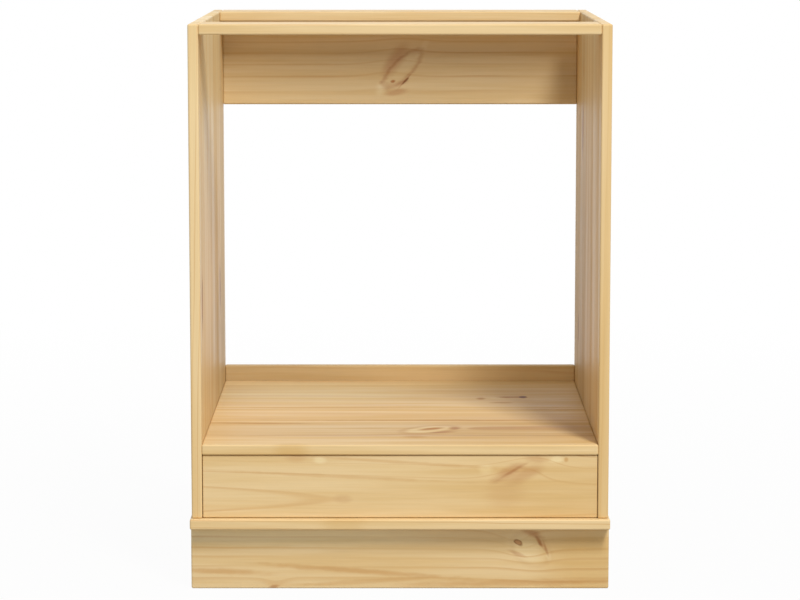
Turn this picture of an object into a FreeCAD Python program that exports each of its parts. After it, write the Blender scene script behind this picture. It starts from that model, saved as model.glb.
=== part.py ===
import FreeCAD, Part

import os
from collections import defaultdict

Vector = FreeCAD.Vector
across = Vector(1, 0, 0)
backward = Vector(0, 1, 0)
up = Vector(0, 0, 1)
full_turn = 360.0

# An oven housing cabinet in solid pine, in millimetres.
# +Z is up, -Y is the front, and the origin is on the floor under the middle of the base plate.

# Carcass boards
board = 15.0                  # thickness of every carcass board
edge_round = 2.5              # round on every edge of a carcass board
base_width = 600.0            # the base plate is the widest and deepest board
base_depth = 600.0
side_inset = 2.5              # base plate proud of each side panel
front_overhang = 8.0          # base plate proud of the side panels' front edges
side_height = 704.0
plinth_height = 91.0
plinth_setback = 25.0         # plinth behind the base plate's front edge
drawer_opening = 92.0         # clear height between base plate and oven shelf
oven_stop_height = 25.0       # lower back board above the oven shelf
rail_depth = 90.0             # flat top rails, front to back
upper_back_height = 135.0

# Play in the joints
fit_gap = 0.1                 # radial play round screws, dowels and cams
end_gap = 0.5                 # room beyond the end of a screw, bolt or dowel
overrun = 1.0                 # how far a cut runs past the piece

# Dowels
dowel_diameter = 8.0
dowel_reach = 20.0            # length in the end of a board
dowel_floor = 5.0             # wood left beyond a dowel in the face of a board
dowel_chamfer = 1.0

# Cam fittings
cam_diameter = 15.0
cam_floor = 3.0               # wood left under the cam pocket
cam_setback = 34.0            # cam's centre from the end of its board
cam_slot_width = 2.0
cam_slot_depth = 2.5
cam_bolt_shank = 6.0
cam_bolt_floor = 4.0          # wood left beyond the bolt's thread
cam_bolt_neck = 4.0
cam_bolt_head = 7.0
cam_bolt_head_length = 3.0
cam_bolt_play = 0.5           # round the bolt's head in its bore

# Screws
base_screw_shank = 6.0
base_screw_head = 10.0
base_screw_head_height = 4.0
base_screw_bite = 35.0        # length in the side panel's lower end
small_screw_shank = 3.5
small_screw_head = 7.0
small_screw_head_height = 2.2
small_screw_bite = 8.0        # length in the wood
corner_screw_bite = 20.0
front_screw_bite = 10.0
drive_width_share = 0.16      # cross recess as shares of the screw head
drive_length_share = 0.6
drive_depth_share = 0.5

# Plinth brackets
bracket_leg = 25.0
bracket_width = 20.0
bracket_steel = 2.0
bracket_hole_share = 0.62     # of the leg

# Worktop screw holes through the top rails
worktop_hole = 4.5
worktop_hole_spacing = 400.0

# Drawer
drawer_gap = 0.8              # round the inset drawer front
drawer_recess = 3.0           # drawer front behind the side panels' front edges
drawer_front_round = 1.5
drawer_board = 12.0
drawer_board_round = 1.0
drawer_lift = 6.0             # drawer box above the base plate
drawer_headroom = 16.0        # drawer box below the oven shelf
bottom_thickness = 4.0
bottom_lift = 8.0             # bottom panel above the drawer sides' lower edges
groove_depth = 5.0
groove_play = 0.2

# Ball-bearing slides
slide_steel = 1.2
slide_setback = 2.0           # behind the drawer box's front
slide_tail = 28.0             # ahead of the drawer box's rear
slide_lip = 2.5
member_gap = 0.3              # between rail and runner
runner_flange_gap = 1.3       # runner flanges from the rail's web
ball_diameter = 4.0
ball_gap = 0.15               # between a ball and its tracks
ball_side_room = 1.05         # beside a ball, to the rail's web and lips
screw_head_room = 3.3         # between a screw head and the runner's flanges
balls_per_row = 6
cage_steel = 0.8
cage_gap = 0.5
travel_share = 0.75           # drawer travel as a share of the slide's length

# Push latch behind the drawer
latch_length = 76.0           # housing, from the lower back board forward
latch_diameter = 14.0
latch_floor = 6.0             # housing wall behind the bore
latch_flange_width = 44.0
latch_flange_height = 16.0
latch_flange = 3.0
latch_nose = 6.0              # plunger and tip in front of the housing
plunger_tail_room = 14.0      # behind the plunger, in the bore
plunger_diameter = 8.0
plunger_play = 0.1
plunger_cap = 8.0             # solid front end of the hollow plunger
plunger_wall = 1.2
tip_thickness = 2.0
tip_spigot = 4.0
tip_spigot_length = 3.0
strike_gap = 0.3              # between tip and strike plate
strike_width = 40.0
strike_height = 16.0
strike_steel = 2.0
strike_screw_shank = 3.0
strike_screw_head = 6.0
strike_screw_head_height = 1.6
spring_wire = 0.6
spring_play = 0.2             # between spring and plunger bore
spring_pitch = 3.3

# Places along the boards, as shares of the length that they follow
shelf_cam_shares = (0.1, 0.9)
shelf_dowel_shares = (0.3, 0.7)
rail_cam_share = 0.5
rail_dowel_shares = (0.22, 0.78)
base_screw_shares = (0.1, 0.5, 0.9)
base_dowel_shares = (0.3, 0.7)
plinth_dowel_shares = (0.3, 0.7)
bracket_shares = (0.25, 0.75)
slide_screw_shares = (0.07, 0.5, 0.93)
runner_screw_shares = (0.12, 0.42, 0.88)
corner_screw_shares = (0.14, 0.86)
front_screw_width_shares = (0.15, 0.85)
front_screw_height_shares = (0.25, 0.75)
bottom_screw_shares = (0.1, 0.5, 0.9)
flange_screw_shares = (0.12, 0.88)
strike_screw_shares = (0.15, 0.85)

# The bore for a cam bolt ends beyond the bolt's head
cam_bolt_reach = cam_setback + cam_bolt_head_length / 2 + cam_bolt_play

# Planes that the boards share
base_x = (-base_width / 2, base_width / 2)
base_y = (-base_depth / 2, base_depth / 2)
base_z = (plinth_height, plinth_height + board)
side_outer = base_width / 2 - side_inset
side_inner = side_outer - board
side_middle = side_inner + board / 2
side_y = (base_y[0] + front_overhang, base_y[1])
side_z = (base_z[1], base_z[1] + side_height)
inner_x = (-side_inner, side_inner)
rail_z = (side_z[1] - board, side_z[1])
back_y = (base_y[1] - board, base_y[1])
shelf_z = (base_z[1] + drawer_opening, base_z[1] + drawer_opening + board)
plinth_front_y = base_y[0] + plinth_setback
plinth_z = (0, plinth_height)
plinth_inner = base_width / 2 - board
plinth_middle = plinth_inner + board / 2
plinth_side_y = (plinth_front_y + board, back_y[0])

# Limits of each carcass board along X, Y and Z
layout = {
    "base_plate": (base_x, base_y, base_z),
    "left_side_panel": ((-side_outer, -side_inner), side_y, side_z),
    "right_side_panel": ((side_inner, side_outer), side_y, side_z),
    "oven_shelf": (inner_x, (side_y[0], back_y[0]), shelf_z),
    "top_front_rail": (inner_x, (side_y[0], side_y[0] + rail_depth), rail_z),
    "top_back_rail": (inner_x, (side_y[1] - rail_depth, side_y[1]), rail_z),
    "upper_back_board": (inner_x, back_y, (rail_z[0] - upper_back_height, rail_z[0])),
    "lower_back_board": (inner_x, back_y, (base_z[1], shelf_z[1] + oven_stop_height)),
    "plinth_front": (base_x, (plinth_front_y, plinth_side_y[0]), plinth_z),
    "plinth_back": (base_x, back_y, plinth_z),
    "plinth_left": ((base_x[0], -plinth_inner), plinth_side_y, plinth_z),
    "plinth_right": ((plinth_inner, base_x[1]), plinth_side_y, plinth_z),
}

# A slide is as high as two rows of balls with screw heads between them, and as thick as the
# room beside the drawer box
slide_height = small_screw_head + 2 * (screw_head_room + 2 * slide_steel + ball_diameter + 2 * ball_gap)
slide_thickness = ball_diameter + 2 * ball_side_room + 3 * slide_steel + member_gap

# The drawer box fills the room between the slides, and ends ahead of the latch
front_y = (side_y[0] + drawer_recess, side_y[0] + drawer_recess + board)
latch_front = back_y[0] - latch_length
tip_front = latch_front - latch_nose
strike_back = tip_front - strike_gap
plunger_bore = plunger_diameter - 2 * plunger_wall
box_half = side_inner - slide_thickness
box_inner = box_half - drawer_board
box_x = (-box_inner, box_inner)
box_y = (front_y[1], strike_back - strike_steel)
box_z = (base_z[1] + drawer_lift, shelf_z[0] - drawer_headroom)
slot_z = (box_z[0] + bottom_lift, box_z[0] + bottom_lift + bottom_thickness)
slot_half = box_inner + groove_depth
panel_half = slot_half - groove_play
slot_front = box_y[0] + drawer_board - groove_depth
drawer_layout = {
    "drawer_box_front": (box_x, (box_y[0], box_y[0] + drawer_board), box_z),
    "drawer_back": (box_x, (box_y[1] - drawer_board, box_y[1]), (slot_z[1], box_z[1])),
    "drawer_left_side": ((-box_half, -box_inner), box_y, box_z),
    "drawer_right_side": ((box_inner, box_half), box_y, box_z),
}

holes = defaultdict(list)
fittings = defaultdict(list)


def box(x, y, z):
    """A block between its limits along each axis."""
    sizes = [high - low for low, high in (x, y, z)]
    return Part.makeBox(*sizes, Vector(x[0], y[0], z[0]))


def eased(x, y, z, radius):
    """A board with every edge rounded."""
    block = box(x, y, z)
    return block.makeFillet(radius, block.Edges)


def around(centre, width):
    """Limits of a width about its centre."""
    return (centre - width / 2, centre + width / 2)


def spread(limits, shares):
    """Places between two limits."""
    return [limits[0] + (limits[1] - limits[0]) * share for share in shares]


def middle(limits):
    return sum(limits) / 2


def turned(points):
    """A solid turned about Z from an outline of (radius, height) points."""
    outline = [Vector(radius, 0, height) for radius, height in points]
    face = Part.Face(Part.makePolygon(outline + outline[:1]))
    return face.revolve(Vector(), up, full_turn)


def placed(shape, base, direction):
    """A copy whose own Z axis points along a direction."""
    copy = shape.copy()
    copy.Placement = FreeCAD.Placement(base, FreeCAD.Rotation(up, direction))
    return copy


def extruded(points, y):
    """A strip of constant section; its points are in X and Z."""
    outline = [Vector(x, y[0], z) for x, z in points]
    face = Part.Face(Part.makePolygon(outline + outline[:1]))
    return face.extrude(backward * (y[1] - y[0]))


def rod(diameter, length):
    return Part.makeCylinder(diameter / 2, length)


def screw(shank, length, head, head_height, sunk):
    """A screw along +Z from the surface at 0 and the hole that it needs."""
    radius, rim = shank / 2, head / 2
    bore = radius + fit_gap
    top = 0 if sunk else -head_height
    seat = head_height if sunk else 0
    shoulder = [] if sunk else [(rim, 0)]
    tip = [(radius, seat), (radius, length - shank), (0, length)]
    solid = turned([(0, top), (rim, top)] + shoulder + tip)
    slot = head * drive_length_share
    for width, depth in ((slot, head * drive_width_share), (head * drive_width_share, slot)):
        recess = (top - overrun, top + head_height * drive_depth_share)
        solid = solid.cut(box(around(0, width), around(0, depth), recess))
    mouth = rim + fit_gap if sunk else bore
    end = length + end_gap
    return solid, turned([(0, 0), (mouth, 0), (bore, seat), (bore, end), (0, end)])


def flat_screw(length):
    """A sunk screw of the small size."""
    return screw(small_screw_shank, length, small_screw_head, small_screw_head_height, True)


def pan_screw(grip):
    """A small screw with a raised head, through a fitting of a given thickness."""
    length = grip + small_screw_bite
    return screw(small_screw_shank, length, small_screw_head, small_screw_head_height, False)


def dowel():
    """A dowel across a joint at 0, with +Z into the face of a board, and its hole."""
    radius, into = dowel_diameter / 2, board - dowel_floor
    slim, bore = radius - dowel_chamfer, radius + fit_gap
    ends = (-dowel_reach, into)
    solid = turned([
        (0, ends[0]), (slim, ends[0]), (radius, ends[0] + dowel_chamfer),
        (radius, ends[1] - dowel_chamfer), (slim, ends[1]), (0, ends[1]),
    ])
    deep = (ends[0] - end_gap, ends[1] + end_gap)
    return solid, turned([(0, deep[0]), (bore, deep[0]), (bore, deep[1]), (0, deep[1])])


def cam_bolt():
    """A bolt across a joint at 0, threaded along +Z into the side panel, and its stepped hole."""
    into = board - cam_bolt_floor
    shank, neck, head = cam_bolt_shank / 2, cam_bolt_neck / 2, cam_bolt_head / 2
    shank_end = cam_diameter / 2 - cam_setback
    head_end = (-cam_setback + cam_bolt_head_length / 2, -cam_setback - cam_bolt_head_length / 2)
    solid = turned([
        (0, into), (shank, into), (shank, shank_end), (neck, shank_end),
        (neck, head_end[0]), (head, head_end[0]), (head, head_end[1]), (0, head_end[1]),
    ])
    thread, bore = shank + fit_gap, head + cam_bolt_play
    deep, far = into + end_gap, -cam_bolt_reach
    return solid, turned([(0, deep), (thread, deep), (thread, 0), (bore, 0), (bore, far), (0, far)])


def cam_lock(seat, inward, joint, outward):
    """A cam from its board's face inward, hollowed for the head of its bolt."""
    depth = board - cam_floor
    body = rod(cam_diameter, depth)
    body = body.cut(box(around(0, cam_diameter), around(0, cam_slot_width), (-overrun, cam_slot_depth)))
    socket = placed(rod(cam_bolt_head + 2 * cam_bolt_play, cam_bolt_reach), joint, -outward)
    return placed(body, seat, inward).cut(socket)


def fit(node, kind, base, direction, *pieces):
    """Put a fastener in its node, and its hole in each piece that it passes through."""
    solid, hole = kind
    fittings[node].append(placed(solid, base, direction))
    for name in pieces:
        holes[name].append(placed(hole, base, direction))


def join_to_sides(name, cams, dowels, mouth):
    """Cam fittings and dowels at both ends of a board, whose cam pockets open along mouth."""
    pocket = rod(cam_diameter + 2 * fit_gap, board - cam_floor)
    for panel, sign in (("left_side_panel", -1), ("right_side_panel", 1)):
        outward = across * sign
        for y, z in dowels:
            fit("carcass_dowels", dowel(), Vector(sign * side_inner, y, z), outward, name, panel)
        for y, z in cams:
            joint = Vector(sign * side_inner, y, z)
            fit("cam_bolts", cam_bolt(), joint, outward, name, panel)
            seat = joint - outward * cam_setback + mouth * (board / 2)
            holes[name].append(placed(pocket, seat, -mouth))
            fittings["cam_locks"].append(cam_lock(seat, -mouth, joint, outward))


def join_carcass():
    """Fasteners between the boards that span the cabinet and the side panels."""
    y, z = layout["oven_shelf"][1:]
    cams = [(place, middle(z)) for place in spread(y, shelf_cam_shares)]
    dowels = [(place, middle(z)) for place in spread(y, shelf_dowel_shares)]
    join_to_sides("oven_shelf", cams, dowels, -up)
    for name in ("top_front_rail", "top_back_rail"):
        y, z = layout[name][1:]
        cams = [(place, middle(z)) for place in spread(y, (rail_cam_share,))]
        dowels = [(place, middle(z)) for place in spread(y, rail_dowel_shares)]
        join_to_sides(name, cams, dowels, -up)
        for x in (-worktop_hole_spacing / 2, worktop_hole_spacing / 2):
            start = Vector(x, middle(y), z[0] - overrun)
            holes[name].append(placed(rod(worktop_hole, board + 2 * overrun), start, up))
    for name in ("upper_back_board", "lower_back_board"):
        y, z = layout[name][1:]
        cams = [(middle(y), place) for place in spread(z, (rail_cam_share,))]
        dowels = [(middle(y), place) for place in spread(z, rail_dowel_shares)]
        join_to_sides(name, cams, dowels, backward)


def join_base():
    """Screws from below and dowels between the base plate and the side panels."""
    length = board + base_screw_bite
    base_screw = screw(base_screw_shank, length, base_screw_head, base_screw_head_height, True)
    for panel, sign in (("left_side_panel", -1), ("right_side_panel", 1)):
        for y in spread(side_y, base_screw_shares):
            start = Vector(sign * side_middle, y, base_z[0])
            fit("base_screws", base_screw, start, up, "base_plate", panel)
        for y in spread(side_y, base_dowel_shares):
            start = Vector(sign * side_middle, y, base_z[1])
            fit("carcass_dowels", dowel(), start, -up, "base_plate", panel)


def plinth_bracket(corner, inward, plinth_name):
    """A steel angle in the corner of a plinth board and the base plate, with its two screws."""
    steel, leg, hole_place = bracket_steel, bracket_leg, bracket_leg * bracket_hole_share
    section = [(0, 0), (leg, 0), (leg, -steel), (steel, -steel), (steel, -leg), (0, -leg)]
    angle = extruded(section, around(0, bracket_width))
    turn = FreeCAD.Rotation(inward, up.cross(inward), up, "ZXY")
    angle.Placement = FreeCAD.Placement(corner, turn)
    small = pan_screw(steel)
    seats = (
        (corner + inward * hole_place - up * steel, up, "base_plate"),
        (corner + inward * steel - up * hole_place, -inward, plinth_name),
    )
    for base, direction, name in seats:
        fit("plinth_bracket_screws", small, base, direction, name)
        angle = angle.cut(placed(small[1], base, direction))
    fittings["plinth_brackets"].append(angle)


def join_plinth():
    """Dowelled plinth corners, and brackets that hold the plinth to the base plate."""
    front, rear = plinth_side_y
    for name, sign in (("plinth_left", -1), ("plinth_right", 1)):
        for z in spread(plinth_z, plinth_dowel_shares):
            x = sign * plinth_middle
            fit("plinth_dowels", dowel(), Vector(x, front, z), -backward, "plinth_front", name)
            fit("plinth_dowels", dowel(), Vector(x, rear, z), backward, "plinth_back", name)
        for y in spread(plinth_side_y, bracket_shares):
            plinth_bracket(Vector(sign * plinth_inner, y, plinth_height), across * -sign, name)
    for x in spread(base_x, bracket_shares):
        plinth_bracket(Vector(x, front, plinth_height), backward, "plinth_front")
        plinth_bracket(Vector(x, rear, plinth_height), -backward, "plinth_back")


def drawer_pieces():
    """The drawer's boards and bottom panel, before their screw holes."""
    pieces = {name: eased(*sizes, drawer_board_round) for name, sizes in drawer_layout.items()}
    front_x = (inner_x[0] + drawer_gap, inner_x[1] - drawer_gap)
    front_z = (base_z[1] + drawer_gap, shelf_z[0] - drawer_gap)
    pieces["drawer_front"] = eased(front_x, front_y, front_z, drawer_front_round)
    slot_y = (slot_front, box_y[1] + overrun)
    slot = box((-slot_half, slot_half), slot_y, (slot_z[0], slot_z[1] + groove_play))
    for name in ("drawer_box_front", "drawer_left_side", "drawer_right_side"):
        holes[name].append(slot)
    panel_y = (slot_front + groove_play, box_y[1])
    pieces["drawer_bottom"] = box((-panel_half, panel_half), panel_y, slot_z)
    return pieces


def join_drawer():
    """Screws that hold the drawer box, its bottom and its front together."""
    corner = flat_screw(drawer_board + corner_screw_bite)
    for side, sign in (("drawer_left_side", -1), ("drawer_right_side", 1)):
        for end in ("drawer_box_front", "drawer_back"):
            y = drawer_layout[end][1]
            for z in spread((slot_z[1], box_z[1]), corner_screw_shares):
                start = Vector(sign * box_half, middle(y), z)
                fit("drawer_corner_screws", corner, start, across * -sign, side, end)
    length = drawer_board + front_screw_bite
    front = screw(small_screw_shank, length, small_screw_head, small_screw_head_height, False)
    for x in spread(box_x, front_screw_width_shares):
        for z in spread((slot_z[1], box_z[1]), front_screw_height_shares):
            start = Vector(x, box_y[0] + drawer_board, z)
            fit("drawer_front_screws", front, start, -backward, "drawer_box_front", "drawer_front")
    for x in spread(box_x, bottom_screw_shares):
        start = Vector(x, box_y[1] - drawer_board / 2, slot_z[0])
        fit("drawer_bottom_screws", flat_screw(bottom_thickness + corner_screw_bite), start, up,
            "drawer_bottom", "drawer_back")


def slide_pieces():
    """Both slides: rail, runner, and two rows of caged balls between their flanges."""
    pieces = {}
    y = (box_y[0] + slide_setback, box_y[1] - slide_tail)
    length = y[1] - y[0]
    centre_z = middle(box_z)
    half, steel, lip = slide_height / 2, slide_steel, slide_lip
    reach = slide_thickness - steel - member_gap
    track = half - steel
    ball_level = track - ball_gap - ball_diameter / 2
    flange = ball_level - ball_diameter / 2 - ball_gap
    ball_depth = reach / 2
    near, web = steel + runner_flange_gap, slide_thickness - steel
    lower_rail = [(0, -half), (reach, -half), (reach, lip - half), (reach - steel, lip - half),
                  (reach - steel, -track), (steel, -track)]
    lower_runner = [(slide_thickness, -flange), (near, -flange), (near, steel - flange),
                    (web, steel - flange)]
    cage_length = length * (1 - travel_share)
    cage_y = around(middle(y), cage_length)
    cage_depth = (steel + cage_gap, reach - steel - cage_gap)
    ball_places = spread(cage_y, [(n + 1) / (balls_per_row + 1) for n in range(balls_per_row)])
    for hand, sign in (("left", -1), ("right", 1)):
        def section(points):
            """A section and its mirror image above the slide's middle, set off from the side panel."""
            whole = points + [(depth, -level) for depth, level in reversed(points)]
            return [(sign * (side_inner - depth), centre_z + level) for depth, level in whole]

        pieces[f"{hand}_slide_rail"] = extruded(section(lower_rail), y)
        pieces[f"{hand}_slide_runner"] = extruded(section(lower_runner), y)
        cage_x = sorted(sign * (side_inner - depth) for depth in cage_depth)
        for level in (centre_z - ball_level, centre_z + ball_level):
            strip = box(cage_x, cage_y, around(level, cage_steel))
            for place in ball_places:
                centre = Vector(sign * (side_inner - ball_depth), place, level)
                ball_hole = rod(ball_diameter + 2 * fit_gap, cage_steel + 2 * overrun)
                strip = strip.cut(placed(ball_hole, centre - up * (cage_steel / 2 + overrun), up))
                fittings[f"{hand}_slide_balls"].append(Part.makeSphere(ball_diameter / 2, centre))
            fittings[f"{hand}_ball_cages"].append(strip)
        small = pan_screw(steel)
        for place in spread(y, slide_screw_shares):
            start = Vector(sign * (side_inner - steel), place, centre_z)
            fit("slide_rail_screws", small, start, across * sign,
                f"{hand}_slide_rail", f"{hand}_side_panel")
        for place in spread(y, runner_screw_shares):
            start = Vector(sign * (side_inner - web), place, centre_z)
            fit("slide_runner_screws", small, start, across * -sign,
                f"{hand}_slide_runner", f"drawer_{hand}_side")
    return pieces


def latch_pieces():
    """The push latch on the lower back board, and the strike plate on the drawer's back."""
    z = middle(box_z)
    mouth = Vector(0, latch_front, z)
    flange_x, strike_x = around(0, latch_flange_width), around(0, strike_width)
    housing = placed(rod(latch_diameter, latch_length), mouth, backward)
    flange_y = (back_y[0] - latch_flange, back_y[0])
    housing = housing.fuse(box(flange_x, flange_y, around(z, latch_flange_height)))
    bore_length = latch_length - latch_floor
    housing = housing.cut(placed(rod(plunger_diameter + 2 * plunger_play, bore_length), mouth, backward))
    nose = Vector(0, tip_front + tip_thickness, z)
    plunger_length = latch_nose - tip_thickness + bore_length - plunger_tail_room
    plunger = placed(rod(plunger_diameter, plunger_length), nose, backward)
    spring_seat = nose + backward * plunger_cap
    plunger = plunger.cut(placed(rod(plunger_bore, plunger_length), spring_seat, backward))
    plunger = plunger.cut(placed(rod(tip_spigot, tip_spigot_length), nose, backward))
    spigot = placed(rod(tip_spigot, tip_thickness + tip_spigot_length), Vector(0, tip_front, z), backward)
    tip = placed(rod(plunger_diameter, tip_thickness), Vector(0, tip_front, z), backward).fuse(spigot)
    for x in spread(flange_x, flange_screw_shares):
        start = Vector(x, flange_y[0], z)
        fit("latch_screws", pan_screw(latch_flange), start, backward, "latch_housing", "lower_back_board")
    strike_y = (box_y[1], strike_back)
    strike_length = strike_steel + small_screw_bite
    small = screw(strike_screw_shank, strike_length, strike_screw_head, strike_screw_head_height, True)
    for x in spread(strike_x, strike_screw_shares):
        start = Vector(x, strike_back, z)
        fit("strike_plate_screws", small, start, -backward, "strike_plate", "drawer_back")
    return {
        "latch_housing": housing,
        "latch_plunger": plunger,
        "plunger_tip": tip.removeSplitter(),
        "strike_plate": box(strike_x, strike_y, around(z, strike_height)),
        "latch_spring": latch_spring(spring_seat, mouth + backward * bore_length),
    }


def latch_spring(front, rear):
    """A compression spring between the plunger's solid end and the housing's floor."""
    radius = (plunger_bore - spring_wire) / 2 - spring_play
    height = (rear - front).Length - spring_wire
    helix = Part.makeHelix(spring_pitch, height, radius)
    start = Vector(radius, 0, 0)
    wire = Part.Wire(Part.makeCircle(spring_wire / 2, start, backward))
    coil = Part.Wire(helix).makePipeShell([wire], True, True)
    return placed(coil, front + backward * (spring_wire / 2), backward)


os.makedirs("parts", exist_ok=True)
pieces = {name: eased(*limits, edge_round) for name, limits in layout.items()}
pieces.update(drawer_pieces())
pieces.update(slide_pieces())
pieces.update(latch_pieces())
join_carcass()
join_base()
join_plinth()
join_drawer()
for name, cutters in holes.items():
    pieces[name] = pieces[name].cut(cutters)
for name, solids in fittings.items():
    pieces[name] = Part.makeCompound(solids)
for name, shape in pieces.items():
    shape.exportStep(f"parts/{name}.step")
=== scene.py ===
import math
from collections import namedtuple

import bmesh
import bpy
from mathutils import Matrix, Vector


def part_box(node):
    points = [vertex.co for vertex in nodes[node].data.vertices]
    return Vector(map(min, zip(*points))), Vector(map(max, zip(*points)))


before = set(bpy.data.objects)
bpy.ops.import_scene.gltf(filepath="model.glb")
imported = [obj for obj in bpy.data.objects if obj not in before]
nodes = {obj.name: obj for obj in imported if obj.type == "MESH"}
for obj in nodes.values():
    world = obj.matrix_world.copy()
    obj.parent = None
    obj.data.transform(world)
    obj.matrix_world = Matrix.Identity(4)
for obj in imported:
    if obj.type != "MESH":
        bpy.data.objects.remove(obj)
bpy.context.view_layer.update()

# An oven housing cabinet in clear-lacquered pine, under soft studio light on a white floor.
# Lengths in the scene are metres; sizes of wood figure and finishes are written in millimetres.

mm = 0.001
X, Y, Z = Vector((1, 0, 0)), Vector((0, 1, 0)), Vector((0, 0, 1))


def srgb(code):
    """A hex colour as linear red, green, blue and alpha."""
    parts = [int(code[n:n + 2], 16) / 255 for n in (1, 3, 5)]
    linear = [c / 12.92 if c <= 0.04045 else ((c + 0.055) / 1.055) ** 2.4 for c in parts]
    return (*linear, 1.0)


def add(tree, kind, inputs=None, output=0, **settings):
    """Add a node, set it and feed it; gives the socket that the next node takes."""
    node = tree.nodes.new("ShaderNode" + kind)
    for name, value in settings.items():
        setattr(node, name, value)
    for key, value in (inputs or {}).items():
        if isinstance(value, bpy.types.NodeSocket):
            tree.links.new(value, node.inputs[key])
        else:
            node.inputs[key].default_value = value
    return node.outputs if output is None else node.outputs[output]


def new_material(name):
    """An empty node material and the socket that its shader goes to."""
    material = bpy.data.materials.new(name)
    material.use_nodes = True
    tree = material.node_tree
    tree.nodes.clear()
    surface = tree.nodes.new("ShaderNodeOutputMaterial").inputs["Surface"]
    return material, tree, surface


def dress(material, *names):
    """Give a finish to CAD nodes."""
    for name in names:
        slots = nodes[name].data.materials
        slots.clear()
        slots.append(material)
        for polygon in nodes[name].data.polygons:
            polygon.material_index = 0


# Pine under clear satin lacquer: pale straw-coloured spring wood, thin honey-coloured summer lines,
# blushes of pink and cream where branches grew, and a soft sheen at a glancing angle. The tan and the
# cream also serve as painted shade and painted light in broad patches.
SPRING = srgb("#E9CC99")        # the pale wood of a year's start
SUMMER = srgb("#CFA064")        # the dense wood of its end
HONEY = srgb("#DDB97C")         # warm streaks along the grain
TAN_AND_SHADE = srgb("#C6AD82")           # dull tan of duller wood, and painted shade in the niche and on the back boards
BLUSH = srgb("#D5AD7D")         # pink round a branch
CREAM_AND_LIGHT = srgb("#F6E1B2")         # fresh pale wood beside a branch, and painted light over broad shaded patches
KNOT = srgb("#B67A47")          # brown of a branch cut through
KNOT_HEART = srgb("#8F5F29")    # its dark middle or rim
RESIN = srgb("#B8741E")         # orange of a branch soaked in resin

# Lengths in the wood
FACE = 7.5                      # mm from the middle of a board to its face
APART = 900.0                   # mm in the log between the wood of one stave and the next
WAVED_LENGTH = 150.0            # mm past which a mark waves with the grain
EDGE = 0.7                      # where a mark ends, as a share of its half length or half width
THROUGH = 1e5                   # reach of a figure that goes right through a board

# A knot bends the rings round it by lift, and a mark tints the wood; some marks are painted shade or
# painted light. Places and sizes are in mm along and across the board from its middle, turns in
# degrees. soft is the blur of a mark's edge, depth and reach keep a tint near one face, and rim leaves
# only an outline of that softness.
Knot = namedtuple("Knot", "along across length width turn lift")
Mark = namedtuple("Mark", "along across length width turn colour strength soft depth reach rim",
                  defaults=(0.45, 0.0, THROUGH, 0.0))


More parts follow.
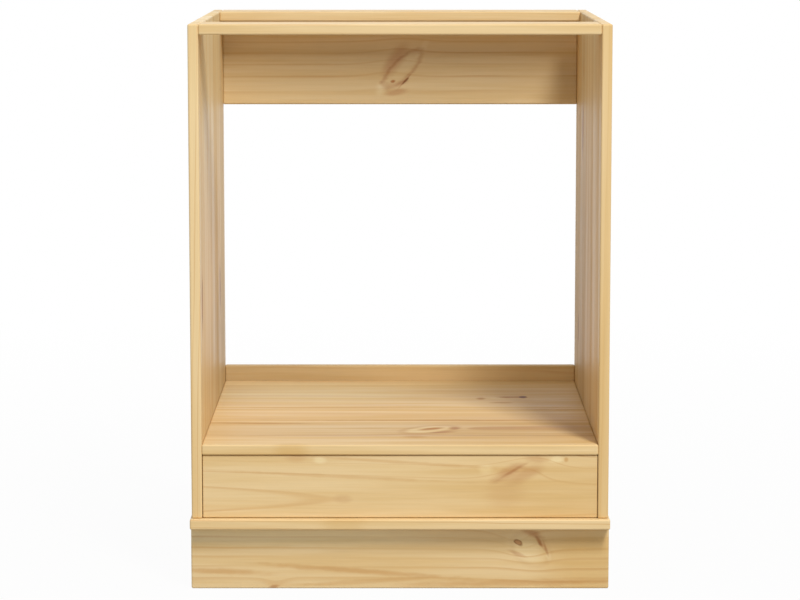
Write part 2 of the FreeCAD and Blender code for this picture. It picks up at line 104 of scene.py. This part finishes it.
def pine(node, along, across, log=(0.0, 0.0, 90.0), spread=(0.0, 0.0, 0.0), stave=2000.0, joint=0.0,
         ring=9.0, late=2.4, bold=0.6, uneven=1.2, wander=9.0, steady=0.4, streak=16.0, warm=0.62,
         gloss=0.34, seed=0.0, knots=(), marks=()):
    """Solid pine for one board, cut along the log and glued up from staves across it.

    The rings are cylinders about the pith, so faces show flames and ends show arcs. log is the
    slope of the pith, its place across the stave and its depth under the board, and spread is how far
    these differ between staves. stave is a stave's width, and joint is how far one glue line lies from
    the middle, or 0 for a stave in the middle. ring is the width of a year, late that of its summer
    wood, and uneven how much years differ. bold is how dark summer wood gets, and steady how well it
    keeps that along the board. wander is how far the pith strays. streak and warm are the width and
    the strength of honey-coloured streaks, gloss is the lacquer's, and seed picks the piece of wood.
    """
    low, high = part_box(node)
    material, tree, surface = new_material("lacquered_pine_" + node)
    turn = Matrix((along, across, along.cross(across))).transposed().to_euler()
    place = add(tree, "Mapping", {
        "Vector": add(tree, "TexCoord", output=3), "Location": (low + high) / 2, "Rotation": turn,
        "Scale": (mm, mm, mm),
    }, vector_type="TEXTURE")
    length, width, depth = add(tree, "SeparateXYZ", {0: place}, None)

    # Each stave has its own piece of log, picked between whole numbers, where rounding can't change it
    from_joint = add(tree, "Math", {0: width, 1: joint or stave / 2}, operation="ADD")
    stave_number = add(tree, "Math", {0: from_joint, 1: stave}, operation="DIVIDE")
    stave_number = add(tree, "Math", {0: stave_number}, operation="FLOOR")
    stave_seed = add(tree, "Math", {0: stave_number, 1: seed + 0.37}, operation="ADD")
    chance = add(tree, "TexWhiteNoise", {"W": stave_seed}, 1, noise_dimensions="1D")
    stave_start = add(tree, "Math", {0: stave_number, 1: stave}, operation="MULTIPLY")
    in_stave = add(tree, "Math", {0: from_joint, 1: stave_start}, operation="SUBTRACT")
    in_stave = add(tree, "Math", {0: in_stave, 1: stave / 2}, operation="SUBTRACT")
    own_log = add(tree, "VectorMath", {
        0: chance, 1: Vector(spread) * 2, 2: Vector(log) - Vector(spread),
    }, operation="MULTIPLY_ADD")
    slope, pith_across, pith_depth = add(tree, "SeparateXYZ", {0: own_log}, None)
    log_place = add(tree, "VectorMath", {
        0: chance, 1: (APART, APART, APART), 2: place,
    }, operation="MULTIPLY_ADD")

    # Distance from a pith that wanders along the log. Here and below, a noise's cells are given as
    # one over their mm along the grain and across it
    slow = add(tree, "VectorMath", {0: log_place, 1: (1 / 420, 1 / 80, 1 / 80)}, operation="MULTIPLY")
    drift = add(tree, "TexNoise", {"Vector": slow, "Scale": 1.0, "Detail": 4.0, "Roughness": 0.5}, 1)
    drift = add(tree, "VectorMath", {
        0: drift, 1: (0.0, wander, wander), 2: (0.0, -wander / 2, -wander / 2),
    }, operation="MULTIPLY_ADD")
    from_pith_across = add(tree, "Math", {0: in_stave, 1: pith_across}, operation="SUBTRACT")
    from_pith_depth = add(tree, "Math", {0: length, 1: slope, 2: pith_depth}, operation="MULTIPLY_ADD")
    from_pith_depth = add(tree, "Math", {0: from_pith_depth, 1: depth}, operation="ADD")
    from_pith = add(tree, "CombineXYZ", {1: from_pith_across, 2: from_pith_depth})
    from_pith = add(tree, "VectorMath", {0: from_pith, 1: drift}, operation="ADD")
    radius = add(tree, "VectorMath", {0: from_pith}, 1, operation="LENGTH")

    # The rings part round a knot and close behind it
    for knot in knots:
        near = add(tree, "Mapping", {
            "Vector": place, "Location": (knot.along, knot.across, 0.0),
            "Rotation": (0.0, 0.0, math.radians(knot.turn)),
            "Scale": (knot.length / 2, knot.width / 2, THROUGH),
        }, vector_type="TEXTURE")
        fall = add(tree, "VectorMath", {0: near, 1: near}, 1, operation="DOT_PRODUCT")
        fall = add(tree, "Math", {0: 1 / math.e, 1: fall}, operation="POWER")
        radius = add(tree, "Math", {0: fall, 1: knot.lift, 2: radius}, operation="MULTIPLY_ADD")

    # Spring wood darkens slowly into summer wood and ends sharply, and years differ
    years = add(tree, "Math", {0: radius, 1: ring}, operation="DIVIDE")
    fits = add(tree, "TexNoise", {"W": years, "Scale": 0.37, "Detail": 1.0}, noise_dimensions="1D")
    years = add(tree, "Math", {0: fits, 1: uneven, 2: years}, operation="MULTIPLY_ADD")
    season = add(tree, "Math", {0: years}, operation="FRACT")
    year = add(tree, "Math", {0: years}, operation="FLOOR")
    year_seed = add(tree, "Math", {0: stave_seed, 1: 7.1, 2: year}, operation="MULTIPLY_ADD")
    growth = add(tree, "TexWhiteNoise", {"W": year_seed}, noise_dimensions="1D")
    rise = add(tree, "MapRange", {"Value": season, 1: 1.0 - late / ring, 2: 0.95},
               interpolation_type="SMOOTHERSTEP")
    end = add(tree, "MapRange", {"Value": season, 1: 1.0, 2: 0.95}, interpolation_type="SMOOTHSTEP")
    strength = add(tree, "MapRange", {"Value": growth, 3: 0.4 * bold, 4: bold})
    summer = add(tree, "Math", {0: rise, 1: end}, operation="MULTIPLY")
    summer = add(tree, "Math", {0: summer, 1: strength}, operation="MULTIPLY")
    fade_place = add(tree, "VectorMath", {
        0: log_place, 1: (1 / 240, 1 / 40, 1 / 40),
    }, operation="MULTIPLY")
    fade = add(tree, "TexNoise", {"Vector": fade_place, "Scale": 1.0, "Detail": 1.0})
    fade = add(tree, "MapRange", {"Value": fade, 1: 0.35, 2: 0.65, 3: steady, 4: 2.0 - steady})
    summer = add(tree, "Math", {0: summer, 1: fade}, operation="MULTIPLY")

    # Broad warm streaks and fine fibres along the grain. Single fibres are too fine to show, so they
    # are drawn as bundles 1.3 mm wide
    streak_place = add(tree, "VectorMath", {
        0: log_place, 1: (1 / (24 * streak), 1 / streak, 1 / streak),
    }, operation="MULTIPLY")
    streaks = add(tree, "TexNoise", {
        "Vector": streak_place, "Scale": 1.0, "Detail": 3.0, "Roughness": 0.6,
    })
    fibre_place = add(tree, "VectorMath", {
        0: log_place, 1: (1 / 70, 1 / 1.3, 1 / 1.3),
    }, operation="MULTIPLY")
    fibres = add(tree, "TexNoise", {
        "Vector": fibre_place, "Scale": 1.0, "Detail": 3.0, "Roughness": 0.7,
    })

    colour = add(tree, "Mix", {0: summer, 6: SPRING, 7: SUMMER}, 2, data_type="RGBA")
    warmth = add(tree, "MapRange", {"Value": streaks, 1: 0.42, 2: 0.66, 3: 0.0, 4: warm})
    colour = add(tree, "Mix", {0: warmth, 6: colour, 7: HONEY}, 2, data_type="RGBA")
    stave_tone = add(tree, "SeparateXYZ", {0: chance})
    stave_tone = add(tree, "MapRange", {"Value": stave_tone, 3: 0.95, 4: 1.03})
    fibre_tone = add(tree, "MapRange", {"Value": fibres, 1: 0.3, 2: 0.7, 3: 0.97, 4: 1.03})
    tone = add(tree, "Math", {0: stave_tone, 1: fibre_tone}, operation="MULTIPLY")
    colour = add(tree, "VectorMath", {0: colour, "Scale": tone}, operation="SCALE")

    # Tints round branches, and broad patches of painted shade and painted light, have soft, torn
    # outlines, and long streaks and patches wave with the grain
    waved = add(tree, "VectorMath", {0: place, 1: drift}, operation="ADD")
    torn_place = add(tree, "VectorMath", {
        0: log_place, 1: (1 / 22, 1 / 7, 1 / 7),
    }, operation="MULTIPLY")
    torn = add(tree, "TexNoise", {"Vector": torn_place, "Scale": 1.0, "Detail": 2.0})
    torn = add(tree, "Math", {0: torn, 1: 0.5}, operation="SUBTRACT")
    for mark in marks:
        near = add(tree, "Mapping", {
            "Vector": waved if mark.length > WAVED_LENGTH else place,
            "Location": (mark.along, mark.across, mark.depth),
            "Rotation": (0.0, 0.0, math.radians(mark.turn)),
            "Scale": (mark.length / 2, mark.width / 2, mark.reach),
        }, vector_type="TEXTURE")
        away = add(tree, "VectorMath", {0: near}, 1, operation="LENGTH")
        tear = min(0.8, 12.0 / mark.width)
        away = add(tree, "Math", {0: torn, 1: tear, 2: away}, operation="MULTIPLY_ADD")
        outer, inner = EDGE + mark.soft, EDGE - mark.soft
        if mark.rim:
            away = add(tree, "Math", {0: away, 1: EDGE}, operation="SUBTRACT")
            away = add(tree, "Math", {0: away}, operation="ABSOLUTE")
            outer, inner = mark.rim, 0.0
        share = add(tree, "MapRange", {
            "Value": away, 1: outer, 2: inner, 3: 0.0, 4: mark.strength,
        }, interpolation_type="SMOOTHSTEP")
        tint = [tinted / plain for tinted, plain in zip(mark.colour, SPRING)]
        colour = add(tree, "Mix", {
            0: share, 6: colour, 7: tint,
        }, 2, data_type="RGBA", blend_type="MULTIPLY")

    # Lacquer sinks between the fibres, and is duller along the streaks
    height = add(tree, "Math", {0: summer, 1: 0.6, 2: fibres}, operation="MULTIPLY_ADD")
    normal = add(tree, "Bump", {"Height": height, "Strength": 0.3, "Distance": 0.06 * mm})
    sheen = add(tree, "Math", {0: streaks, 1: 2.0, 2: fibres}, operation="MULTIPLY_ADD")
    rough = add(tree, "MapRange", {"Value": sheen, 1: 1.2, 2: 1.8, 3: 0.38, 4: 0.58})
    shader = add(tree, "BsdfPrincipled", {
        "Base Color": colour, "Roughness": rough, "Normal": normal, "IOR": 1.45,
        "Specular IOR Level": gloss,
    })
    tree.links.new(shader, surface)
    dress(material, node)


# Side panels: upright staves with broad streaks, and dark knots and painted shade on the faces towards
# the oven
panel_log = {"log": (0.0, 0.0, 75.0), "spread": (0.02, 45.0, 40.0)}
side_streaks = {"streak": 42.0, "warm": 0.9}
pine("left_side_panel", Z, Y, **panel_log, **side_streaks, stave=116.0, joint=41.0, seed=1.0, knots=[
    Knot(-46, -252, 150, 52, 0, 7),
    Knot(-78, 164, 140, 54, 0, 7),
], marks=[
    Mark(-46, -252, 110, 30, 0, KNOT, 0.85, depth=-FACE, reach=9.0),
    Mark(-46, -252, 74, 24, 0, KNOT_HEART, 0.5, depth=-FACE, reach=9.0, rim=0.3),
    Mark(-78, 164, 100, 34, 0, KNOT, 0.85, depth=-FACE, reach=9.0),
    Mark(-78, 164, 70, 27, 0, KNOT_HEART, 0.5, depth=-FACE, reach=9.0, rim=0.3),
    Mark(-300, -280, 320, 160, 0, HONEY, 0.2),
    # paler towards the top of the panel, on both faces and the front edge
    Mark(260, 0, 420, 900, 0, CREAM_AND_LIGHT, 0.55),
    # painted shade on the lower rear of the face towards the oven, around the shelf
    Mark(-190, 120, 330, 640, 0, TAN_AND_SHADE, 0.65, depth=-FACE, reach=12.0),
])
pine("right_side_panel", Z, Y, **panel_log, **side_streaks, stave=116.0, joint=75.0, seed=2.0, knots=[
    Knot(171, 118, 150, 54, 0, 7),
], marks=[
    Mark(171, 118, 110, 32, 0, KNOT, 0.9, depth=FACE, reach=9.0),
    Mark(171, 118, 76, 26, 0, KNOT_HEART, 0.6, depth=FACE, reach=9.0, rim=0.3),
    Mark(-146, 194, 60, 28, 0, KNOT, 0.8, depth=FACE, reach=9.0),
    Mark(-240, -280, 540, 200, 0, HONEY, 0.5),
    # painted shade over the middle and rear of the face towards the oven
    Mark(-100, 130, 640, 660, 0, TAN_AND_SHADE, 0.6, depth=FACE, reach=12.0),
    # and a little more painted shade low on that face, behind the drawer
    Mark(-310, 60, 300, 700, 0, TAN_AND_SHADE, 0.2, depth=FACE, reach=12.0),
])
pine("base_plate", X, Y, **panel_log, stave=100.0, joint=50.0, ring=11.0, seed=3.0, marks=[
    Mark(-80, -300, 80, 40, 0, HONEY, 0.5),
])

# Shelf: wide calm figure under a duller lacquer, an eye-shaped knot in front and a small one behind
pine("oven_shelf", X, Y, log=(0.0, 0.0, 60.0), spread=(0.012, 40.0, 25.0), stave=116.0, joint=105.0,
     ring=24.0, late=10.0, bold=0.7, streak=22.0, warm=0.85, gloss=0.18, seed=4.0, knots=[
    Knot(42, -161, 110, 60, 36, 12),
    Knot(178, 118, 90, 40, 0, 8),
], marks=[
    Mark(0, 0, 1400, 900, 0, HONEY, 0.1, depth=FACE, reach=8.0),
    Mark(0, -190, 900, 330, 0, TAN_AND_SHADE, 0.28, depth=FACE, reach=8.0),
    Mark(-150, 150, 420, 260, 0, CREAM_AND_LIGHT, 0.9, depth=FACE, reach=8.0),
    Mark(190, -190, 480, 300, 0, HONEY, 0.9, depth=FACE, reach=8.0),
    Mark(65, -83, 600, 15, 0, SUMMER, 0.8),
    Mark(-225, -109, 250, 15, -3, SUMMER, 0.75),
    Mark(-120, 30, 340, 16, 1, SUMMER, 0.45),
    Mark(-60, -215, 460, 14, 0, SUMMER, 0.45),
    Mark(40, -165, 120, 62, 36, CREAM_AND_LIGHT, 1.0, 0.3),
    Mark(42, -163, 130, 74, 36, RESIN, 0.3, rim=0.22),
    Mark(62, -185, 56, 20, 20, RESIN, 0.55),
    Mark(46, -157, 56, 22, 34, RESIN, 0.85, 0.35),
    Mark(80, -152, 22, 28, 0, RESIN, 0.6),
    Mark(22, -222, 44, 30, 0, SUMMER, 0.5),
    Mark(150, 118, 30, 26, 0, CREAM_AND_LIGHT, 0.5),
    Mark(157, 74, 44, 18, 0, RESIN, 0.5),
    Mark(174, 127, 52, 15, 0, RESIN, 1.0),
    Mark(192, 127, 18, 28, 0, RESIN, 0.8, 0.25),
    Mark(192, 127, 16, 25, 0, KNOT_HEART, 1.0, 0.25),
    Mark(126, 113, 18, 26, 0, RESIN, 0.65),
    Mark(-155, -290, 60, 40, 0, HONEY, 0.6),
])

rail_log = {"log": (0.01, 20.0, 60.0)}
pine("top_front_rail", X, Y, **rail_log, bold=0.35, seed=5.0)
pine("top_back_rail", X, Y, **rail_log, bold=0.35, seed=6.0)

# Upper back board: level lines that part round one slanting knot with a pale lens beside it,
# under painted shade for the back rail's shadow and a strip of painted light along the bottom
pine("upper_back_board", X, Z, log=(0.0, -85.0, 52.0), ring=15.0, late=4.0, bold=0.7, uneven=0.4,
     wander=7.0, seed=7.0, knots=[
    Knot(-8, 4, 120, 70, 48, -6),
], marks=[
    # painted shade over the board, strongest below its middle, in place of the back rail's shadow
    Mark(0, -25, 1000, 150, 0, TAN_AND_SHADE, 0.95),
    # painted light: a paler strip along the bottom edge
    Mark(0, -55, 1100, 70, 0, CREAM_AND_LIGHT, 0.2),
    Mark(-7, 4, 78, 30, 55, BLUSH, 1.0),
    Mark(4, -9, 94, 30, 45, CREAM_AND_LIGHT, 0.3, 0.3),
    Mark(35, 19, 44, 14, 60, CREAM_AND_LIGHT, 0.45),
    Mark(-30, -42, 30, 20, 60, CREAM_AND_LIGHT, 0.7),
    Mark(4, -11, 112, 42, 45, KNOT, 0.4, rim=0.2),
    Mark(9, -29, 40, 4, 48, KNOT, 0.7),
    Mark(-6, -48, 44, 12, 8, BLUSH, 0.9),
    Mark(2, -34, 24, 8, 20, BLUSH, 0.9),
    Mark(-11, -31, 11, 7, 20, KNOT, 0.95, 0.35),
    Mark(-31, -33, 9, 7, 40, KNOT, 0.3),
    Mark(9, -30, 20, 4, 45, KNOT_HEART, 0.6, 0.3),
])
pine("lower_back_board", X, Z, log=(0.01, 30.0, 60.0), ring=10.0, seed=8.0, marks=[
    # darker over its left half
    Mark(-210, 0, 620, 300, 0, TAN_AND_SHADE, 0.8),
    # painted light: the right end, in the side panel's shadow, painted paler
    Mark(200, 0, 320, 300, 0, CREAM_AND_LIGHT, 0.35),
])

# Plinth: long dark streaks, a knot under the right half of the base plate, and painted light in the
# base plate's shadow on the left half
pine("plinth_front", X, Z, log=(0.004, -85.0, 36.0), ring=13.0, late=5.0, bold=0.5, wander=16.0,
     seed=9.0, knots=[
    Knot(172, 20, 84, 48, -38, 13),
    Knot(-182, -44, 50, 24, 10, 8),
], marks=[
    Mark(270, -5, 180, 120, 0, HONEY, 0.9),
    # painted light: a paler band along the top of the left half, lifting the base plate's shadow
    Mark(-160, 34, 520, 50, 0, CREAM_AND_LIGHT, 0.95),
    Mark(-255, -21, 160, 11, -2, SUMMER, 0.6),
    Mark(-60, -20, 330, 10, -4, SUMMER, 0.6),
    Mark(170, -35, 420, 12, 2, SUMMER, 0.55),
    Mark(-40, -34, 260, 8, 3, SUMMER, 0.4),
    Mark(180, 13, 80, 46, -38, CREAM_AND_LIGHT, 0.5, 0.3),
    Mark(188, 12, 84, 60, -36, KNOT, 0.12, rim=0.2),
    Mark(190, 36, 38, 13, -20, KNOT, 0.55),
    Mark(168, 6, 34, 7, -22, BLUSH, 0.9),
    Mark(201, 22, 28, 7, -58, KNOT, 0.8),
    Mark(201, 20, 10, 5, -50, KNOT_HEART, 0.3),
    Mark(209, 14, 28, 5, -70, KNOT, 0.6),
    Mark(214, 2, 18, 9, -80, CREAM_AND_LIGHT, 0.6),
    Mark(170, 22, 17, 10, -28, KNOT, 0.75, 0.3),
    Mark(170, 22, 16, 9, -28, KNOT_HEART, 0.6, rim=0.3),
    Mark(-182, -43, 18, 8, 10, KNOT, 0.6),
])
pine("plinth_back", X, Z, **rail_log, seed=10.0)
pine("plinth_left", Y, Z, **rail_log, seed=11.0)
pine("plinth_right", Y, Z, **rail_log, seed=12.0)

# Drawer front: flames that run to a point left of the middle, and a slanting blush at the right
pine("drawer_front", X, Z, log=(0.0167, -18.0, 53.8), ring=10.0, late=1.5, uneven=0.0, wander=1.2,
     steady=0.8, seed=13.0, knots=[
    Knot(185, 34, 120, 56, 28, -9),
], marks=[
    Mark(215, -5, 380, 150, 0, HONEY, 0.5),
    Mark(-113, 16, 440, 6, -2.7, SUMMER, 0.35),
    Mark(-8, 36, 340, 6, -3.7, SUMMER, 0.4),
    Mark(-115, 39, 24, 13, 0, CREAM_AND_LIGHT, 0.9),
    Mark(-148, 42, 40, 16, 0, BLUSH, 0.5),
    Mark(-84, -18, 34, 14, 0, BLUSH, 0.5),
    Mark(150, -10, 70, 56, 0, BLUSH, 0.3),
    Mark(122, 25, 24, 16, 0, CREAM_AND_LIGHT, 0.7),
    Mark(154, 20, 64, 18, 28, BLUSH, 0.95),
    Mark(178, 18, 64, 24, 20, BLUSH, 0.8),
    Mark(160, 22, 50, 6, 30, KNOT, 0.45),
    Mark(194, 40, 40, 12, 0, BLUSH, 0.6),
    Mark(223, 40, 24, 13, 0, CREAM_AND_LIGHT, 0.9),
    Mark(237, 39, 7, 9, 0, SUMMER, 0.7),
])
pine("drawer_box_front", X, Z, **rail_log, seed=14.0)
pine("drawer_back", X, Z, **rail_log, seed=15.0)
pine("drawer_left_side", Y, Z, **rail_log, seed=16.0)
pine("drawer_right_side", Y, Z, **rail_log, seed=17.0)


def birch_plywood(node, ply=4.0 / 3):
    """Rotary-cut birch: a silky pale face with wide watery flames and short dark pores.

    ply is the thickness of each of its three plies in mm. Pores are drawn wider than they are, to show.
    """
    low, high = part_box(node)
    material, tree, surface = new_material("birch_plywood")
    place = add(tree, "Mapping", {
        "Vector": add(tree, "TexCoord", output=3), "Location": (low + high) / 2, "Scale": (mm, mm, mm),
    }, vector_type="TEXTURE")
    _, _, level = add(tree, "SeparateXYZ", {0: place}, None)
    hill_place = add(tree, "VectorMath", {
        0: place, 1: (1 / 420, 1 / 130, 1 / 40),
    }, operation="MULTIPLY")
    hills = add(tree, "TexNoise", {"Vector": hill_place, "Scale": 1.0, "Detail": 2.0, "Roughness": 0.4})
    contour = add(tree, "Math", {0: hills, 1: 16.0}, operation="MULTIPLY")
    contour = add(tree, "Math", {0: contour}, operation="FRACT")
    flame = add(tree, "MapRange", {"Value": contour, 1: 0.3, 2: 0.95}, interpolation_type="SMOOTHSTEP")
    flame_end = add(tree, "MapRange", {
        "Value": contour, 1: 1.0, 2: 0.95,
    }, interpolation_type="SMOOTHSTEP")
    flame = add(tree, "Math", {0: flame, 1: flame_end}, operation="MULTIPLY")
    pore_place = add(tree, "VectorMath", {0: place, 1: (1 / 14, 1 / 0.9, 1 / 0.9)}, operation="MULTIPLY")
    pores = add(tree, "TexNoise", {"Vector": pore_place, "Scale": 1.0, "Detail": 2.0})
    pores = add(tree, "MapRange", {"Value": pores, 1: 0.6, 2: 0.72})
    inner = add(tree, "Math", {0: level}, operation="ABSOLUTE")
    inner = add(tree, "Math", {0: inner, 1: ply / 2}, operation="LESS_THAN")
    face = add(tree, "Math", {0: flame, 1: 0.45}, operation="MULTIPLY")
    colour = add(tree, "Mix", {0: face, 6: srgb("#E8D4AE"), 7: srgb("#D9BC8E")}, 2, data_type="RGBA")
    pore_share = add(tree, "Math", {0: pores, 1: 0.35}, operation="MULTIPLY")
    colour = add(tree, "Mix", {0: pore_share, 6: colour, 7: srgb("#B08A5C")}, 2, data_type="RGBA")
    core = add(tree, "Math", {0: inner, 1: 0.7}, operation="MULTIPLY")
    colour = add(tree, "Mix", {0: core, 6: colour, 7: srgb("#B98F5E")}, 2, data_type="RGBA")
    normal = add(tree, "Bump", {"Height": pores, "Strength": 0.3, "Distance": -0.05 * mm})
    rough = add(tree, "MapRange", {"Value": hills, 3: 0.5, 4: 0.62})
    shader = add(tree, "BsdfPrincipled", {"Base Color": colour, "Roughness": rough, "Normal": normal})
    tree.links.new(shader, surface)
    dress(material, node)


def beech_dowel(*names):
    """Turned beech: pinkish tan, with short dark ray flecks and fine turning marks."""
    material, tree, surface = new_material("beech_dowel")
    place = add(tree, "Mapping", {
        "Vector": add(tree, "TexCoord", output=3), "Scale": (mm, mm, mm),
    }, vector_type="TEXTURE")
    fleck_place = add(tree, "VectorMath", {0: place, 1: (1 / 3, 1 / 0.8, 1 / 0.8)}, operation="MULTIPLY")
    flecks = add(tree, "TexNoise", {"Vector": fleck_place, "Scale": 1.0, "Detail": 2.0})
    share = add(tree, "MapRange", {"Value": flecks, 1: 0.5, 2: 0.68})
    colour = add(tree, "Mix", {0: share, 6: srgb("#DDBA90"), 7: srgb("#B98A5C")}, 2, data_type="RGBA")
    normal = add(tree, "Bump", {"Height": flecks, "Strength": 0.4, "Distance": 0.1 * mm})
    rough = add(tree, "MapRange", {"Value": flecks, 3: 0.55, 4: 0.7})
    shader = add(tree, "BsdfPrincipled", {"Base Color": colour, "Roughness": rough, "Normal": normal})
    tree.links.new(shader, surface)
    dress(material, *names)


def fitting_finish(name, light, dark, *names, rough, cloud, grit, relief, metallic=1.0):
    """A metal or moulded finish: clouds of two tones, and a grit that roughens and raises the surface.

    light and dark are the tones, and rough is the lowest and the highest roughness. cloud and grit are
    sizes in mm, with grit drawn as coarse as it needs to show, and relief is the grit's height in mm.
    """
    material, tree, surface = new_material(name)
    place = add(tree, "Mapping", {
        "Vector": add(tree, "TexCoord", output=3), "Scale": (mm, mm, mm),
    }, vector_type="TEXTURE")
    clouds = add(tree, "TexNoise", {
        "Vector": place, "Scale": 1 / cloud, "Detail": 3.0, "Roughness": 0.6,
    })
    grains = add(tree, "TexNoise", {"Vector": place, "Scale": 1 / grit, "Detail": 2.0})
    tones = add(tree, "MapRange", {"Value": clouds, 1: 0.3, 2: 0.7})
    colour = add(tree, "Mix", {0: tones, 6: srgb(light), 7: srgb(dark)}, 2, data_type="RGBA")
    scuffs = add(tree, "Math", {0: clouds, 1: grains}, operation="MULTIPLY")
    roughness = add(tree, "MapRange", {"Value": scuffs, 1: 0.12, 2: 0.4, 3: rough[0], 4: rough[1]})
    normal = add(tree, "Bump", {"Height": grains, "Strength": 0.5, "Distance": relief * mm})
    shader = add(tree, "BsdfPrincipled", {
        "Base Color": colour, "Roughness": roughness, "Normal": normal, "Metallic": metallic,
    })
    tree.links.new(shader, surface)
    dress(material, *names)


birch_plywood("drawer_bottom")
beech_dowel("carcass_dowels", "plinth_dowels")
# Zinc-plated steel: cool silver with faint blue and straw clouds, half dull
fitting_finish("zinc_plated_steel", "#D0D4D8", "#C5C7C4",
               "cam_bolts", "base_screws", "plinth_brackets", "plinth_bracket_screws",
               "left_slide_rail", "right_slide_rail", "left_slide_runner", "right_slide_runner",
               "slide_rail_screws", "slide_runner_screws", "left_ball_cages", "right_ball_cages",
               "drawer_front_screws", "drawer_corner_screws", "drawer_bottom_screws",
               "latch_screws", "latch_spring", "strike_plate", "strike_plate_screws",
               rough=(0.3, 0.4), cloud=14.0, grit=0.5, relief=0.01)
# Die-cast zinc: darker grey, with the dull, slightly pitted skin of the mould
fitting_finish("cast_zinc", "#A9ACAE", "#8C8F92", "cam_locks",
               rough=(0.42, 0.6), cloud=4.0, grit=0.7, relief=0.06)
# Ground bearing steel: bright and smooth, with hairline wear
fitting_finish("bearing_steel", "#DDDFE1", "#CBCDD0", "left_slide_balls", "right_slide_balls",
               rough=(0.08, 0.2), cloud=2.0, grit=0.3, relief=0.004)
# Moulded grey plastic: even mid grey with the fine grain of a spark-eroded mould
fitting_finish("grey_plastic", "#9A9DA0", "#8F9296", "latch_housing", "latch_plunger",
               rough=(0.4, 0.58), cloud=12.0, grit=0.4, relief=0.04, metallic=0.0)
# Black rubber: deep charcoal, dull, with dusty grey clouds
fitting_finish("black_rubber", "#1F2022", "#2D2E30", "plunger_tip",
               rough=(0.65, 0.85), cloud=3.0, grit=0.5, relief=0.05, metallic=0.0)


def seen_directly(tree):
    """1 where the camera, a reflection or glass looks, and 0 for light that falls on the object."""
    path = add(tree, "LightPath", output=None)
    seen = add(tree, "Math", {0: path["Is Camera Ray"], 1: path["Is Glossy Ray"]}, operation="MAXIMUM")
    return add(tree, "Math", {0: seen, 1: path["Is Transmission Ray"]}, operation="MAXIMUM")


def white_floor():
    """A pale matt floor that looks white and still takes a faint shadow, which fades with distance."""
    half_side = 40.0
    shadow_from, shadow_to = 0.4, 2.6
    white_near, white_far = 0.965, 1.0
    mesh = bpy.data.meshes.new("studio_floor")
    work = bmesh.new()
    bmesh.ops.create_grid(work, x_segments=1, y_segments=1, size=half_side)
    work.to_mesh(mesh)
    work.free()
    floor = bpy.data.objects.new("studio_floor", mesh)
    bpy.context.scene.collection.objects.link(floor)
    material, tree, surface = new_material("white_studio_floor")
    matt = add(tree, "BsdfDiffuse", {"Color": srgb("#BEBEBB")})
    glow = add(tree, "Emission", {"Strength": 1.0})
    away = add(tree, "VectorMath", {0: add(tree, "TexCoord", output=3)}, 1, operation="LENGTH")
    white = add(tree, "MapRange", {
        "Value": away, 1: shadow_from, 2: shadow_to, 3: white_near, 4: white_far,
    })
    share = add(tree, "Math", {0: seen_directly(tree), 1: white}, operation="MULTIPLY")
    tree.links.new(add(tree, "MixShader", {0: share, 1: matt, 2: glow}), surface)
    mesh.materials.append(material)


def studio_light():
    """One tall soft lamp high at the front right, in an even white room."""
    room_level, room_white = 0.45, 1.0
    lamp_watts = 615.0
    lamp_width, lamp_height = 1.5, 3.4
    lamp_distance = 9.0
    aim = Vector((0.0, 0.0, 0.45))
    towards = Vector((0.42, -1.0, 1.17)).normalized()

    world = bpy.data.worlds.new("white_room")
    world.use_nodes = True
    tree = world.node_tree
    tree.nodes.clear()
    strength = add(tree, "MapRange", {"Value": seen_directly(tree), 3: room_level, 4: room_white})
    room = add(tree, "Background", {"Color": (1.0, 1.0, 1.0, 1.0), "Strength": strength})
    output = tree.nodes.new("ShaderNodeOutputWorld")
    tree.links.new(room, output.inputs["Surface"])
    bpy.context.scene.world = world

    lamp = bpy.data.lights.new("soft_key", "AREA")
    lamp.shape = "RECTANGLE"
    lamp.size = lamp_width
    lamp.size_y = lamp_height
    lamp.energy = lamp_watts
    key = bpy.data.objects.new("soft_key", lamp)
    key.location = aim + towards * lamp_distance
    key.rotation_euler = towards.to_track_quat("Z", "Y").to_euler()
    bpy.context.scene.collection.objects.link(key)


def photo_camera():
    """The camera stands straight in front, a little above the top, and looks slightly down."""
    distance, height = 4.444, 0.971
    look_down = math.radians(7.544)
    camera = bpy.data.cameras.new("front_camera")
    camera.lens = 133.23
    camera.sensor_width = 36.0
    view = bpy.data.objects.new("front_camera", camera)
    view.location = (0.0, -distance, height)
    view.rotation_euler = (math.pi / 2 - look_down, 0.0, 0.0)
    bpy.context.scene.collection.objects.link(view)
    bpy.context.scene.camera = view


white_floor()
studio_light()
photo_camera()
bpy.context.scene.view_settings.view_transform = "Standard"
